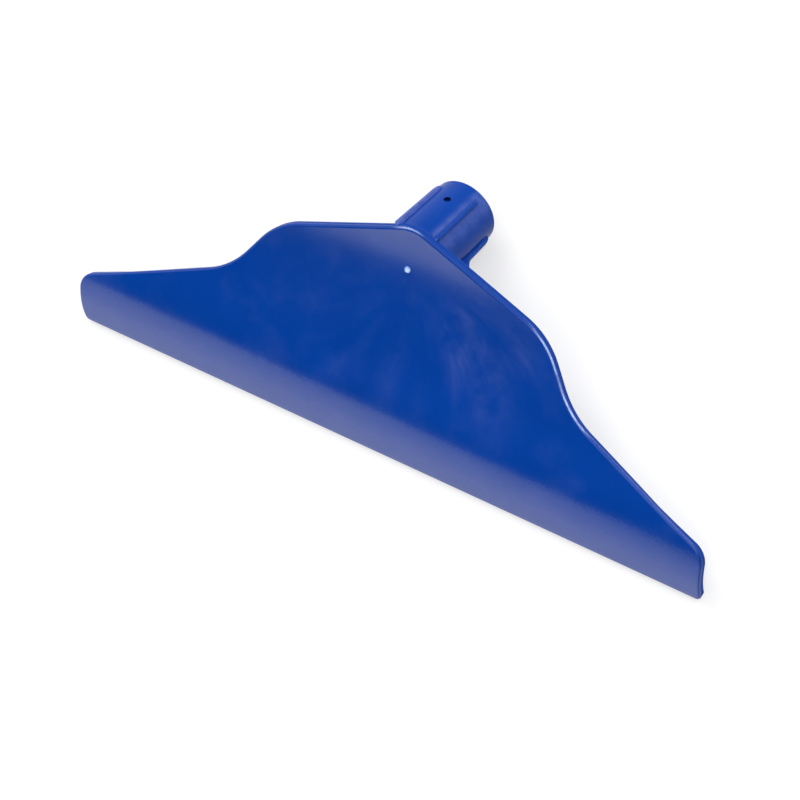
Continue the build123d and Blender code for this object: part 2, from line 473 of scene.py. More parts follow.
@dataclass(frozen=True)
class BladeSection:
    """S-shaped section of the blade, by the distance along its front face upwards from the bend."""

    bow_radius: float = 165.0
    curl_radius: float = 43.0
    lip_length: float = 43.0
    thickness: float = 4.3
    bend_ease: float = 6.0

    @property
    def back_bow_radius(self) -> float:
        """Radius of the plate's back face."""
        return self.bow_radius + self.thickness

    def along(self, height: np.ndarray) -> np.ndarray:
        """Distance along the face for a height in the front view."""
        radius = np.where(height >= 0, self.bow_radius, self.curl_radius)
        return radius * np.arcsin(height / radius)

    def lean(self, distance: np.ndarray) -> np.ndarray:
        """Angle by which the face leans forward or curls back."""
        return np.where(distance >= 0, distance / self.bow_radius, -distance / self.curl_radius)

    def facing(self, lean: np.ndarray) -> np.ndarray:
        """Direction out of a face that leans forward by an angle."""
        return np.stack([np.zeros_like(lean), -np.sin(lean), np.cos(lean)], axis=-1)

    def normal(self, distance: np.ndarray) -> np.ndarray:
        """Direction out of the front face."""
        return self.facing(self.lean(distance))

    def eased_normal(self, distance: np.ndarray) -> np.ndarray:
        """Direction out of the front face, eased across the bend so that it shades without a crease.

        Args:
            distance: Distance along the face from the bend.

        Returns:
            The direction in the blade's frame.
        """
        spare = np.maximum(0.0, 1 - np.abs(distance) / self.bend_ease)
        turn = (1 / self.bow_radius + 1 / self.curl_radius) * self.bend_ease / 4
        return self.facing(self.lean(distance) + turn * spare**2)

    def upward(self, distance: np.ndarray) -> np.ndarray:
        """Direction up along the face."""
        lean = self.lean(distance)
        return np.stack([np.zeros_like(lean), np.cos(lean), np.sin(lean)], axis=-1)

    def place(self, across: np.ndarray, distance: np.ndarray, depth: np.ndarray) -> np.ndarray:
        """Points behind the front face.

        Args:
            across: Place along the blade.
            distance: Distance along the face from the bend.
            depth: Depth behind the face, square to it.

        Returns:
            The points in the blade's frame.
        """
        lean = self.lean(distance)
        radius = np.where(distance >= 0, self.bow_radius, -self.curl_radius)
        face = np.stack([across, radius * np.sin(lean), radius * (1 - np.cos(lean))], axis=-1)
        return face - np.asarray(depth)[..., None] * self.normal(distance)


def make_object(name: str, points: np.ndarray, faces: Sequence, normals: Union[np.ndarray, None]) -> Object:
    """A mesh object in the row frame, smooth all over.

    Args:
        name: Name of the piece.
        points: Its points in metres.
        faces: Its faces as rows of point numbers.
        normals: True surface direction at each point, or None to work it out from the faces.

    Returns:
        The object, in the scene.
    """
    mesh = bpy.data.meshes.new(name)
    mesh.from_pydata(points.tolist(), [], [tuple(int(i) for i in face) for face in faces])
    mesh.validate()
    mesh.shade_smooth()
    if normals is not None:
        mesh.normals_split_custom_set_from_vertices(normals.tolist())
    made = bpy.data.objects.new(name, mesh)
    bpy.context.scene.collection.objects.link(made)
    return made


def crease_sharp_edges(piece: Object, degrees: float) -> None:
    """Shades a piece smooth except across edges that turn by more than an angle.

    Args:
        piece: The piece.
        degrees: The angle.
    """
    shaped = bmesh.new()
    shaped.from_mesh(piece.data)
    bmesh.ops.recalc_face_normals(shaped, faces=shaped.faces)
    for face in shaped.faces:
        face.smooth = True
    for edge in shaped.edges:
        if len(edge.link_faces) == 2:
            edge.smooth = edge.calc_face_angle(0.0) < math.radians(degrees)
    shaped.to_mesh(piece.data)
    shaped.free()


def ring_faces(rings: int, count: int, flip: bool = False) -> list[tuple]:
    """Four-sided faces between closed rings of points.

    Args:
        rings: Number of rings, one after the other.
        count: Points of each ring.
        flip: Whether the faces look the other way.

    Returns:
        The faces as rows of point numbers.
    """
    faces: list[tuple] = []
    for ring in range(rings - 1):
        near = np.arange(count) + ring * count
        first, second = (near + count, near) if flip else (near, near + count)
        faces += zip(first, second, np.roll(second, -1), np.roll(first, -1))
    return faces


def fan(tip: int, start: int, count: int, flip: bool = False) -> list[tuple]:
    """Three-sided faces between one point and a closed ring of points.

    Args:
        tip: Number of the one point.
        start: Number of the ring's first point.
        count: Points of the ring.
        flip: Whether the faces look the other way.

    Returns:
        The faces as rows of point numbers.
    """
    ring = np.arange(count) + start
    onward = np.roll(ring, -1)
    return [(tip, *pair) for pair in (zip(onward, ring) if flip else zip(ring, onward))]


def end_caps(rings: int, count: int) -> list[tuple]:
    """Flat faces on the first and the last of some closed rings of points."""
    last = (rings - 1) * count
    return [tuple(range(count)), tuple(reversed(range(last, last + count)))]


def unit(vectors: np.ndarray) -> np.ndarray:
    """Vectors brought to a length of 1."""
    return vectors / np.linalg.norm(vectors, axis=-1, keepdims=True)


def full_turn(count: int) -> np.ndarray:
    """Angles of a full turn, without its end."""
    return np.linspace(0, 2 * math.pi, count, endpoint=False)


def quarter_turn(count: int) -> np.ndarray:
    """Angles of a quarter turn, with its end."""
    return np.radians(np.linspace(0, 90, count))


def round_off(radius: Any, count: int) -> list[tuple]:
    """How far the points of a rounded edge fall short of the one face and of the other."""
    return [(radius * (1 - math.sin(turn)), radius * (1 - math.cos(turn))) for turn in quarter_turn(count)]


@dataclass
class Blade:
    """The blade: plate, wings, shoulders and crown above the bend, scraping lip below it. In millimetres."""

    section: BladeSection = field(default_factory=BladeSection)
    half_width: float = 175.0
    wing_end_height: float = -12.1
    foot: tuple = (94.8, 22.1)
    shoulder: tuple = (74.1, 51.6)
    crown_height: float = 76.556
    wing_corner_radius: float = 10.5
    foot_radius: float = 44.0
    shoulder_radius: float = 38.0
    crown_radius: float = 20.0
    lip_corner_radius: float = 2.7
    lip_side_share: float = 0.6
    rim_radius: float = 1.5
    back_rim_radius: float = 0.45
    rim_reach: float = 2.3
    columns: int = 300
    rows: int = 56
    arc_points: int = 400
    path_step: float = 0.05
    rounding_steps: int = 8
    back_rounding_points: int = 5
    # Rings of the rounded edge, and spots along it, that carry painted highlights on the crown and the right
    # shoulder and foot.
    highlight_rings: tuple = (4, 7)
    painted_highlight_spots: tuple = ((-2.5, 74.0, 10.0, 0.65), (77.5, 43.5, 18.0, 0.9), (95.0, 25.0, 17.5, 0.9))

    def rounded(self, corners: Sequence[tuple], start: tuple, end: tuple) -> np.ndarray:
        """Dense points along a path with rounded corners.

        Args:
            corners: x, y and radius of each corner.
            start: First point.
            end: Last point.

        Returns:
            The points in order.
        """
        knots = [np.array(start, float)] + [np.array(c[:2], float) for c in corners] + [np.array(end, float)]
        path = [knots[0]]
        for index, (_, _, radius) in enumerate(corners, start=1):
            corner = knots[index]
            back, onward = unit(knots[index - 1] - corner), unit(knots[index + 1] - corner)
            half_angle = math.acos(float(np.clip(back @ onward, -1, 1))) / 2
            middle = corner + unit(back + onward) * radius / math.sin(half_angle)
            first = corner + back * radius / math.tan(half_angle)
            last = corner + onward * radius / math.tan(half_angle)
            begin = math.atan2(*(first - middle)[::-1])
            sweep = (math.atan2(*(last - middle)[::-1]) - begin + math.pi) % (2 * math.pi) - math.pi
            angles = begin + sweep * np.linspace(0, 1, self.arc_points)
            path += list(middle + radius * np.stack([np.cos(angles), np.sin(angles)], axis=1))
        path.append(knots[-1])
        dense = [path[0]]
        for point in path[1:]:
            previous = dense[-1]
            steps = max(1, int(np.linalg.norm(point - previous) / self.path_step))
            dense += [previous + (point - previous) * k / steps for k in range(1, steps + 1)]
        return np.array(dense)

    def boundary(self) -> np.ndarray:
        """Edge of the front face laid flat, from the right side over the crown and back.

        Returns:
            Dense points along the edge.
        """
        section, half = self.section, self.half_width
        wing = (half, self.wing_end_height, self.wing_corner_radius)
        right = [wing, (*self.foot, self.foot_radius), (*self.shoulder, self.shoulder_radius)]
        left = [(-x, y, radius) for x, y, radius in reversed(right)]
        crown = (0.0, self.crown_height, self.crown_radius)
        side = -section.curl_radius * math.sin(self.lip_side_share * section.lip_length / section.curl_radius)
        upper = self.rounded([*right, crown, *left], (half, side), (-half, side))
        upper[:, 1] = section.along(upper[:, 1])
        corners = [(across, -section.lip_length, self.lip_corner_radius) for across in (-half, half)]
        lower = self.rounded(corners, tuple(upper[-1]), tuple(upper[0]))
        return np.concatenate([upper, lower[1:-1]])

    def loop(self) -> tuple[np.ndarray, np.ndarray, np.ndarray]:
        """Points of the edge at which the mesh has rows and columns.

        Returns:
            The points, the outward directions in the flat and the share of the width of each column.
        """
        dense = self.boundary()
        ahead = np.roll(dense, -1, axis=0) - np.roll(dense, 1, axis=0)
        outward = unit(np.stack([ahead[:, 1], -ahead[:, 0]], axis=1))
        wing_level = float(self.section.along(np.array(self.wing_end_height)))
        bottom = -self.section.lip_length
        marks = [(self.half_width, bottom), (self.half_width, wing_level), (-self.half_width, wing_level),
                 (-self.half_width, bottom)]
        at = [int(np.argmin(np.linalg.norm(dense - np.array(mark), axis=1))) for mark in marks]
        dense, outward = np.roll(dense, -at[0], axis=0), np.roll(outward, -at[0], axis=0)
        at = [(index - at[0]) % len(dense) for index in at] + [len(dense)]
        dense, outward = np.vstack([dense, dense[:1]]), np.vstack([outward, outward[:1]])
        length = np.concatenate([[0.0], np.cumsum(np.linalg.norm(np.diff(dense, axis=0), axis=1))])
        top = np.linspace(length[at[1]], length[at[2]], self.columns + 1)
        top_across = np.interp(top, length, dense[:, 0])
        share = (top_across[::-1] - top_across[-1]) / (top_across[0] - top_across[-1])
        right = np.linspace(length[at[0]], length[at[1]], self.rows + 1)
        left = np.linspace(length[at[2]], length[at[3]], self.rows + 1)
        base = length[at[3]] + share * (length[at[4]] - length[at[3]])
        stations = np.concatenate([right[:-1], top[:-1], left[:-1], base[:-1]])
        points = np.stack([np.interp(stations, length, dense[:, k]) for k in (0, 1)], axis=1)
        out = np.stack([np.interp(stations, length, outward[:, k]) for k in (0, 1)], axis=1)
        return points, unit(out), share

    def rim_profile(self) -> list[tuple]:
        """Section of the rim, from the front face round to the back.

        Returns:
            Inset from the edge, depth and lean of the surface at each ring of the mesh.
        """
        thickness, front, back = self.section.thickness, self.rounding_steps + 1, self.back_rounding_points
        profile = [(self.rim_reach, 0.0, 0.0)]
        for turn, (inset, depth) in zip(quarter_turn(front), round_off(self.rim_radius, front)):
            profile.append((inset, depth, turn))
        for turn, (rise, inset) in zip(quarter_turn(back), round_off(self.back_rim_radius, back)):
            profile.append((inset, thickness - rise, math.pi / 2 + turn))
        return profile + [(self.rim_reach, thickness, math.pi)]

    def sides(self, ring: np.ndarray) -> tuple:
        """Cuts a ring along the edge at the four corners of the mesh.

        Args:
            ring: A row for each point of the edge.

        Returns:
            The right side, top, left side and base, each from its lower or left end.
        """
        closed = np.concatenate([ring, ring[:1]])
        cuts = np.cumsum([0, self.rows, self.columns, self.rows, self.columns])
        right, top, left, base = [closed[first : last + 1] for first, last in zip(cuts, cuts[1:])]
        return right, top[::-1], left[::-1], base

    def inner_grid(self, edge: np.ndarray, share: np.ndarray) -> np.ndarray:
        """Points inside a closed edge laid flat, evenly stretched between its four sides.

        Args:
            edge: Points of the edge.
            share: Share of the width of each column.

        Returns:
            The points by row and column.
        """
        right, top, left, base = self.sides(edge)
        u, v = share[None, :, None], np.linspace(0, 1, self.rows + 1)[:, None, None]
        ruled = (1 - v) * base[None] + v * top[None] + (1 - u) * left[:, None] + u * right[:, None]
        corners = (1 - v) * ((1 - u) * base[0] + u * base[-1]) + v * ((1 - u) * top[0] + u * top[-1])
        return ruled - corners

    def build(self, rest: RestingPlace) -> Object:
        """The blade as one smooth closed shell.

        Args:
            rest: How the blade lies.

        Returns:
            The blade.
        """
        edge, outward, share = self.loop()
        count, rows, columns = len(edge), self.rows, self.columns
        points, normals, rings = [], [], []
        for inset, depth, lean in self.rim_profile():
            flat = edge - inset * outward
            rings.append(np.arange(count) + len(rings) * count)
            points.append(self.section.place(flat[:, 0], flat[:, 1], np.full(count, depth)))
            aside = outward[:, 1:] * self.section.upward(flat[:, 1])
            aside[:, 0] += outward[:, 0]
            normals.append(math.cos(lean) * self.section.eased_normal(flat[:, 1]) + math.sin(lean) * aside)
        faces = ring_faces(len(rings), count)
        inside = self.inner_grid(edge - self.rim_reach * outward, share)[1:-1, 1:-1].reshape(-1, 2)
        for ring, depth, side in ((rings[0], 0.0, 1.0), (rings[-1], self.section.thickness, -1.0)):
            number = np.zeros((rows + 1, columns + 1), int)
            first = sum(len(row) for row in points)
            number[1:-1, 1:-1] = np.arange(first, first + len(inside)).reshape(rows - 1, columns - 1)
            number[:, -1], number[-1], number[:, 0], number[0] = self.sides(ring)
            points.append(self.section.place(inside[:, 0], inside[:, 1], np.full(len(inside), depth)))
            normals.append(side * self.section.eased_normal(inside[:, 1]))
            quads = np.stack([number[:-1, :-1], number[:-1, 1:], number[1:, 1:], number[1:, :-1]], axis=-1)
            faces += (quads if side > 0 else quads[..., ::-1]).reshape(-1, 4).tolist()
        placed = rest.point(np.concatenate(points))
        return make_object("blade", placed, faces, rest.direction(np.concatenate(normals)))

    def dress_rim(self, blade: Object, edge: Material, wall: Material) -> None:
        """Gives the middle of the rounded front edge a finish with painted highlights, and the wall of the
        rim a finish of its own.

        Args:
            blade: The blade, whose first faces are those of the rim, ring by ring from the front.
            edge: Finish of the middle of the rounded edge, which carries the painted highlights.
            wall: Finish of the wall behind it.
        """
        around = 2 * (self.rows + self.columns)
        wall_ring = self.rounding_steps + 1
        for finish, first, last in ((edge, *self.highlight_rings), (wall, wall_ring, wall_ring + 1)):
            blade.data.materials.append(finish)
            for face in blade.data.polygons[first * around : last * around]:
                face.material_index = len(blade.data.materials) - 1

    def face_point(self, across: float, height: float) -> np.ndarray:
        """A point of the front face by its place in the front view, in the blade's frame."""
        return self.section.place(np.array(across), self.section.along(np.array(height)), np.array(0.0))

    def painted_highlights(self, rest: RestingPlace) -> tuple:
        """Places of the rim that carry painted highlights, pale colour standing in for glints of light."""
        return tuple(PaintedHighlight(rest.spot(self.face_point(x, y)), *extent) for x, y, *extent in self.painted_highlight_spots)


@dataclass
class HandleSocket:
    """The tapered tube for the handle, behind the crown, with its screw hole. In millimetres."""

    section: BladeSection = field(default_factory=BladeSection)
    bore_radius: float = 14.2
    wall: float = 2.4
    draft: float = math.radians(0.8)
    length: float = 47.0
    height: float = 58.8
    slope: float = math.radians(56.1)
    bore_depth: float = 36.2067
    bore_corner: float = 0.8
    mouth_round: float = 0.54
    lead_in: float = 0.6
    screw_hole_radius: float = 1.6
    screw_hole_setback: float = 15.1
    screw_hole_lead: float = 0.15
    cutter_overlap: float = 0.02
    cutter_above_skin: float = 1.0
    flare_radius: float = 2.5
    flare_toe_trim: float = 0.4
    flare_crown_reach: float = 0.15
    into_blade: float = 2.0
    core_share: float = 0.5
    segments: int = 240
    hole_segments: int = 48
    flare_points: int = 8
    wall_points: int = 56
    bore_points: int = 44
    rounding_points: int = 6
    row_gap: float = 0.15
    end_shares: tuple = (0.75, 0.4, 0.15)
    crease_angle: float = 40.0
    roughness: float = 0.24
    specular: float = 0.12
    # Painted sheen: pale strips along the tube and beside the upper left rib, standing in for reflection
    # bands.
    painted_sheen_depths: tuple = (4.0, 14.0, 24.0, 34.0, 44.0)
    wall_painted_sheen: tuple = (0.8, 8.5, 0.34)
    rib_painted_sheen: tuple = (-0.58, 9.5, 0.52)

    @property
    def mouth_radius(self) -> float:
        """Outside radius at the mouth."""
        return self.bore_radius + self.wall

    @property
    def root_radius(self) -> float:
        """Outside radius where the axis meets the blade's front."""
        return self.cone(self.length)

    @property
    def axes(self) -> np.ndarray:
        """Rows: right, towards the screw hole and into the socket, in the blade's frame."""
        into = (0.0, -math.cos(self.slope), math.sin(self.slope))
        return np.array([(1.0, 0.0, 0.0), (0.0, math.sin(self.slope), math.cos(self.slope)), into])

    @property
    def mouth_centre(self) -> np.ndarray:
        """Middle of the mouth in the blade's frame."""
        sunk = self.section.bow_radius - math.sqrt(self.section.bow_radius**2 - self.height**2)
        return np.array([0.0, self.height, sunk]) - self.length * self.axes[2]

    @property
    def hole_centre(self) -> np.ndarray:
        """Middle of the screw hole, halfway through the wall, in the blade's frame."""
        return self.to_blade(np.array([0.0, self.bore_radius + self.wall / 2, self.screw_hole_setback]))

    def cone(self, depth: Any) -> Any:
        """Outside radius at a depth from the mouth."""
        return self.mouth_radius + depth * math.tan(self.draft)

    def to_blade(self, points: np.ndarray) -> np.ndarray:
        """Points of the socket's frame, in the blade's frame."""
        return points @ self.axes + self.mouth_centre

    def skin_point(self, angle: float, depth: float) -> np.ndarray:
        """A point of the tube's outside, by its angle round from the screw hole, in the blade's frame."""
        radius = self.cone(depth)
        return self.to_blade(np.array([radius * math.sin(angle), radius * math.cos(angle), depth]))

    def to_back(self, across: np.ndarray, up: np.ndarray) -> np.ndarray:
        """Depth at which a line along the socket meets the blade's back face.

        Args:
            across: Place of the line to the right of the axis.
            up: Its place above the axis, towards the screw hole.

        Returns:
            The depth from the mouth.
        """
        start = self.to_blade(np.stack([across, up, np.zeros_like(across)], axis=-1))
        y, z = start[..., 1], start[..., 2] - self.section.bow_radius
        half = y * self.axes[2][1] + z * self.axes[2][2]
        return -half - np.sqrt(half**2 - (y**2 + z**2 - self.section.back_bow_radius**2))

    def flare(self, angle: np.ndarray) -> np.ndarray:
        """Radius of the flare round the root, which dies away towards the crown.

        Args:
            angle: Angle round from the screw hole.

        Returns:
            The radius.
        """
        toe = self.root_radius + self.flare_radius - self.flare_toe_trim
        crown_side = self.root_radius + self.flare_crown_reach
        shift = (toe**2 - crown_side**2) / (2 * crown_side)
        limit = np.sqrt((crown_side + shift) ** 2 - (shift * np.sin(angle)) ** 2) - shift * np.cos(angle)
        return np.minimum(limit, toe) - self.root_radius

    def tube_rows(self, angle: np.ndarray) -> list[tuple]:
        """Rows of the tube's mesh, from inside the blade over the mouth to the bore's end.

        Args:
            angle: Angles round from the screw hole.

        Returns:
            Radius and depth of each row, at each angle.
        """
        back = self.to_back(self.root_radius * np.sin(angle), self.root_radius * np.cos(angle))
        flare, edge = self.flare(angle), self.mouth_round
        even = np.ones_like(angle)
        rows = [(self.core_share * self.root_radius * even, back + self.into_blade)]
        rows.append((self.cone(back) + flare, back + self.into_blade))
        for short, out in reversed(round_off(flare, self.flare_points)):
            rows.append((self.cone(back - short) + out, back - short))
        for share in np.linspace(0, 1, self.wall_points)[1:]:
            depth = (1 - share) * (back - flare) + share * (edge + self.row_gap)
            rows.append((self.cone(depth), depth))
        return rows + [(radius * even, depth * even) for radius, depth in self.mouth_and_bore()]

    def mouth_and_bore(self) -> list[tuple]:
        """Section of the tube from its mouth to the bore's end.

        Returns:
            Radius and depth of each row.
        """
        edge, lead, bore, corner = self.mouth_round, self.lead_in, self.bore_radius, self.bore_corner
        count = self.rounding_points
        rows = [(self.cone(edge) - inward, along) for along, inward in round_off(edge, count)]
        rows.append((bore + lead + self.row_gap, 0.0))
        rows += [(bore + outward, along) for outward, along in round_off(lead, count)]
        rows += [(bore, depth) for depth in np.linspace(lead, self.bore_depth - corner, self.bore_points)[1:]]
        rows += [(bore - inward, self.bore_depth - along) for along, inward in round_off(corner, count)[1:]]
        return rows + [(share * bore, self.bore_depth) for share in self.end_shares]

    def build(self, rest: RestingPlace) -> Object:
        """The tube with its screw hole.

        Args:
            rest: How the blade lies.

        Returns:
            The tube.
        """
        count = self.segments
        angle = full_turn(count) + math.pi / count
        rings = []
        for radius, depth in self.tube_rows(angle):
            rings.append(np.stack([radius * np.sin(angle), radius * np.cos(angle), depth], axis=-1))
        ends = np.array([rings[0].mean(axis=0), (0.0, 0.0, self.bore_depth)])
        tip = len(rings) * count
        faces = ring_faces(len(rings), count)
        faces += fan(tip, 0, count) + fan(tip + 1, tip - count, count, flip=True)
        points = rest.point(self.to_blade(np.concatenate([*rings, ends])))
        tube = make_object("handle_socket_tube", points, faces, None)
        self.drill(tube, rest)
        return tube

    def drill(self, tube: Object, rest: RestingPlace) -> None:
        """Cuts the screw hole, slightly broken at its outer edge, through the top of the tube.

        Args:
            tube: The tube.
            rest: How the blade lies.
        """
        radius, wide = self.screw_hole_radius, self.screw_hole_radius + self.screw_hole_lead
        skin = self.cone(self.screw_hole_setback)
        rim = skin - radius**2 / (2 * skin)
        profile = [(radius, self.bore_radius / 2), (radius, rim - self.screw_hole_lead),
                   (wide, rim + self.cutter_overlap), (wide, skin + self.cutter_above_skin)]
        angle = full_turn(self.hole_segments)
        rings = []
        for out, up in profile:
            depth = self.screw_hole_setback + out * np.sin(angle)
            rings.append(np.stack([out * np.cos(angle), np.full_like(angle, up), depth], axis=-1))
        size = (len(rings), self.hole_segments)
        faces = ring_faces(*size, flip=True) + end_caps(*size)
        points = rest.point(self.to_blade(np.concatenate(rings)))
        cutter = make_object("screw_hole_cutter", points, faces, None)
        cut = tube.modifiers.new("screw_hole", "BOOLEAN")
        cut.operation, cut.solver, cut.object = "DIFFERENCE", "EXACT", cutter
        graph = bpy.context.evaluated_depsgraph_get()
        cut_mesh = bpy.data.meshes.new_from_object(tube.evaluated_get(graph))
        tube.modifiers.clear()
        tube.data = cut_mesh
        tube.data.name = tube.name
        bpy.data.objects.remove(cutter)
        crease_sharp_edges(tube, self.crease_angle)

    def finish(self, name: str, rest: RestingPlace, haze_and_sheen: tuple) -> Material:
        """Satin plastic with a pale strip of painted sheen along the tube, standing in for a reflection band.

        Args:
            name: Name of the material.
            rest: How the blade lies.
            haze_and_sheen: Angle of the painted sheen strip round from the screw hole, its reach and its
                strength.

        Returns:
            The material.
        """
        angle, *extent = haze_and_sheen
        painted_highlights = tuple(PaintedHighlight(rest.spot(self.skin_point(angle, depth)), *extent) for depth in self.painted_sheen_depths)
        plastic = MouldedPlastic(name, roughness=self.roughness, specular=self.specular, painted_highlights=painted_highlights,
                                 painted_highlight_colour=MouldedPlastic.scuff_and_sheen_colour)
        return plastic.material()


@dataclass
class SocketRib:
    """One rib along the outside of the socket, at an angle round it from the screw hole. In millimetres."""

    socket: HandleSocket
    name: str
    angle: float
    spreads: bool
    width: float = 2.6
    mouth_height: float = 1.75
    root_height: float = 2.35
    setback: float = 3.8
    nose_radius: float = 4.5
    nose_sunk: float = 0.4
    edge_round: float = 0.8
    run_out: float = math.radians(32.0)
    run_out_ease: float = 0.4
    gusset_setback: float = 24.0
    gusset_spread: float = math.radians(35.0)
    gusset_radius: float = 8.0
    into_tube: float = 1.5
    nose_points: int = 18
    top_points: int = 24
    knee_points: int = 10
    end_points: int = 22
    rounding_points: int = 6
    flank_shares: tuple = (0.0, 0.25, 0.5, 0.75)
    closing_steps: int = 20
    crease_angle: float = 50.0

    def ridge(self) -> np.ndarray:
        """The rib's top, from its nose to inside the blade.

        Returns:
            Radius and depth of its points.
        """
        tube, nose = self.socket, self.nose_radius
        mouth_top = tube.mouth_radius + self.mouth_height
        rise = (tube.root_radius + self.root_height - mouth_top) / (tube.length - self.setback)
        below = math.degrees(math.asin(1 - (self.mouth_height + self.nose_sunk) / nose))
        turns = np.radians(np.linspace(180 - below, 90, self.nose_points))
        low, deep = mouth_top - nose, self.setback + nose
        points = [(low + nose * math.sin(a), deep + nose * math.cos(a)) for a in turns]
        if self.spreads:
            turn, knee_at = self.gusset_spread, self.gusset_setback
            bend = self.gusset_radius * math.tan(turn / 2)
        else:
            turn, bend = -self.run_out, self.run_out_ease
            knee_at = self.meets_back(mouth_top - self.setback * rise, rise, 0.0)
        slant = math.tan(turn)
        knee_top = mouth_top + (knee_at - self.setback) * rise
        for depth in np.linspace(deep, knee_at - bend, self.top_points)[1:]:
            points.append((mouth_top + (depth - self.setback) * rise, depth))
        for share in np.linspace(0, 1, self.knee_points)[1:]:
            step = -bend + 2 * bend * share
            eased = (bend + step) ** 2 / (4 * bend)
            points.append((knee_top + step * rise + eased * (slant - rise), knee_at + step))
        radius, depth = points[-1]
        end = self.meets_back(radius - depth * slant, slant, tube.into_blade)
        for share in np.linspace(0, 1, self.end_points)[1:]:
            points.append((radius + share * (end - depth) * slant, depth + share * (end - depth)))
        return np.array(points)

    def meets_back(self, start: float, rise: float, beyond: float) -> float:
        """Depth at which a line along the rib lies so far beyond the blade's back face.

        Args:
            start: Radius of the line at the mouth.
            rise: Radius that it gains with depth.
            beyond: Depth beyond the back face.

        Returns:
            The depth from the mouth.
        """
        depth = self.socket.length
        for _ in range(self.closing_steps):
            radius = start + rise * depth
            across, up = radius * math.sin(self.angle), radius * math.cos(self.angle)
            depth = float(self.socket.to_back(np.array(across), np.array(up))) + beyond
        return depth

    def build(self, rest: RestingPlace) -> Object:
        """The rib as a web with a rounded top.

        Args:
            rest: How the blade lies.

        Returns:
            The rib.
        """
        tube, ridge = self.socket, self.ridge()
        first, last = ridge[0, 1], ridge[-1, 1]
        foot_end = self.meets_back(tube.mouth_radius - self.into_tube, math.tan(tube.draft), tube.into_blade)
        foot_depth = first + (ridge[:, 1] - first) / (last - first) * (foot_end - first)
        foot = np.stack([tube.cone(foot_depth) - self.into_tube, foot_depth], axis=1)
        half, edge = self.width / 2, self.edge_round
        rounded = [(half - inward, -down) for down, inward in round_off(edge, self.rounding_points)]
        rows = []
        for top, base in zip(ridge, foot):
            height = float(np.linalg.norm(top - base))
            up = (top - base) / height
            flank = [(half, share * (height - edge)) for share in self.flank_shares]
            right = flank + [(aside, height + drop) for aside, drop in rounded]
            outline = right + [(-aside, level) for aside, level in reversed(right)]
            rows.append([(aside, *(base + up * level)) for aside, level in outline])
        aside, radius, depth = np.moveaxis(np.array(rows), -1, 0)
        across = radius * math.sin(self.angle) + aside * math.cos(self.angle)
        upward = radius * math.cos(self.angle) - aside * math.sin(self.angle)
        local = np.stack([across, upward, depth], axis=-1)
        faces = ring_faces(*local.shape[:2]) + end_caps(*local.shape[:2])
        made = make_object(self.name, rest.point(tube.to_blade(local.reshape(-1, 3))), faces, None)
        crease_sharp_edges(made, self.crease_angle)
        return made


@dataclass
class GatePip:
    """Low torn stub that the moulding gate left on the front face. In millimetres."""

    section: BladeSection = field(default_factory=BladeSection)
    height: float = 56.2
    radius: float = 1.65
    rise: float = 0.5
    sunk: float = 0.4
    steepness: float = 3.4
    peak_share: float = 0.9
    ragged: float = 0.07
    ragged_waves: float = 1.7
    ragged_seed: float = 0.3
    tear: float = 0.35
    tear_waves: float = 1.3
    tear_seed: float = 5.0
    top_shares: tuple = (0.98, 0.08)
    rings: int = 14
    segments: int = 40
    crease_angle: float = 60.0

    @property
    def distance(self) -> float:
        """Distance of the stub's middle along the face from the bend."""
        return float(self.section.along(np.array(self.height)))

    def build(self, rest: RestingPlace) -> Object:
        """The stub, uneven in outline and torn on top.

        Args:
            rest: How the blade lies.

        Returns:
            The stub.
        """
        angle, count = full_turn(self.segments), self.segments
        outline = [Vector((math.cos(a), math.sin(a), self.ragged_seed)) * self.ragged_waves for a in angle]
        wave = self.ragged * np.array([noise.noise(place) for place in outline])
        shares = np.concatenate([[1.0, 1.0], np.linspace(*self.top_shares, self.rings)])
        points = []
        for index, share in enumerate(shares):
            radius = share * self.radius * (1 + wave)
            across, up = radius * np.cos(angle), radius * np.sin(angle)
            level = self.rise * min(1.0, self.steepness * math.sqrt(max(0.0, 1 - share)))
            places = zip(self.tear_waves * across, self.tear_waves * up)
            torn = np.array([noise.noise(Vector((x, y, self.tear_seed))) for x, y in places])
            depth = -level * (1 + self.tear * torn) + (self.sunk if index == 0 else 0.0)
            points.append(self.section.place(across, self.distance + up, depth))
        for depth in (-self.peak_share * self.rise, self.sunk):
            points.append(self.section.place(np.array([0.0]), np.array([self.distance]), np.array([depth])))
        tip = len(shares) * count
        faces = ring_faces(len(shares), count, flip=True)
        faces += fan(tip, tip - count, count) + fan(tip + 1, 0, count, flip=True)
        made = make_object("gate_pip_stub", rest.point(np.concatenate(points)), faces, None)
        crease_sharp_edges(made, self.crease_angle)
        return made


def toward(azimuth: float, elevation: float) -> Vector:
    """Direction from the object, by degrees clockwise from +Y as seen from above and degrees upwards."""
    round_about, up = math.radians(azimuth), math.radians(elevation)
    return Vector((math.cos(up) * math.sin(round_about), math.cos(up) * math.cos(round_about), math.sin(up)))


@dataclass(frozen=True)
class Softbox:
    """One soft lamp, by the direction in which it stands, the angles it fills and its face's brightness."""

    name: str
    azimuth: float
    elevation: float
    width: float
    height: float
    brightness: float
    distance: float = 3.0

    def build(self) -> None:
        """Sets up the lamp, aimed at the object."""
        lamp = bpy.data.lights.new(self.name, "AREA")
        lamp.shape = "RECTANGLE"
        halves = [self.distance * math.tan(math.radians(angle) / 2) for angle in (self.width, self.height)]
        lamp.size, lamp.size_y = [2 * half for half in halves]
        lamp.energy = self.brightness * math.pi * lamp.size * lamp.size_y
        made = bpy.data.objects.new(self.name, lamp)
        aside = toward(self.azimuth, self.elevation)
        made.location = aside * self.distance
        made.rotation_euler = aside.to_track_quat("Z", "Y").to_euler()
        bpy.context.scene.collection.objects.link(made)


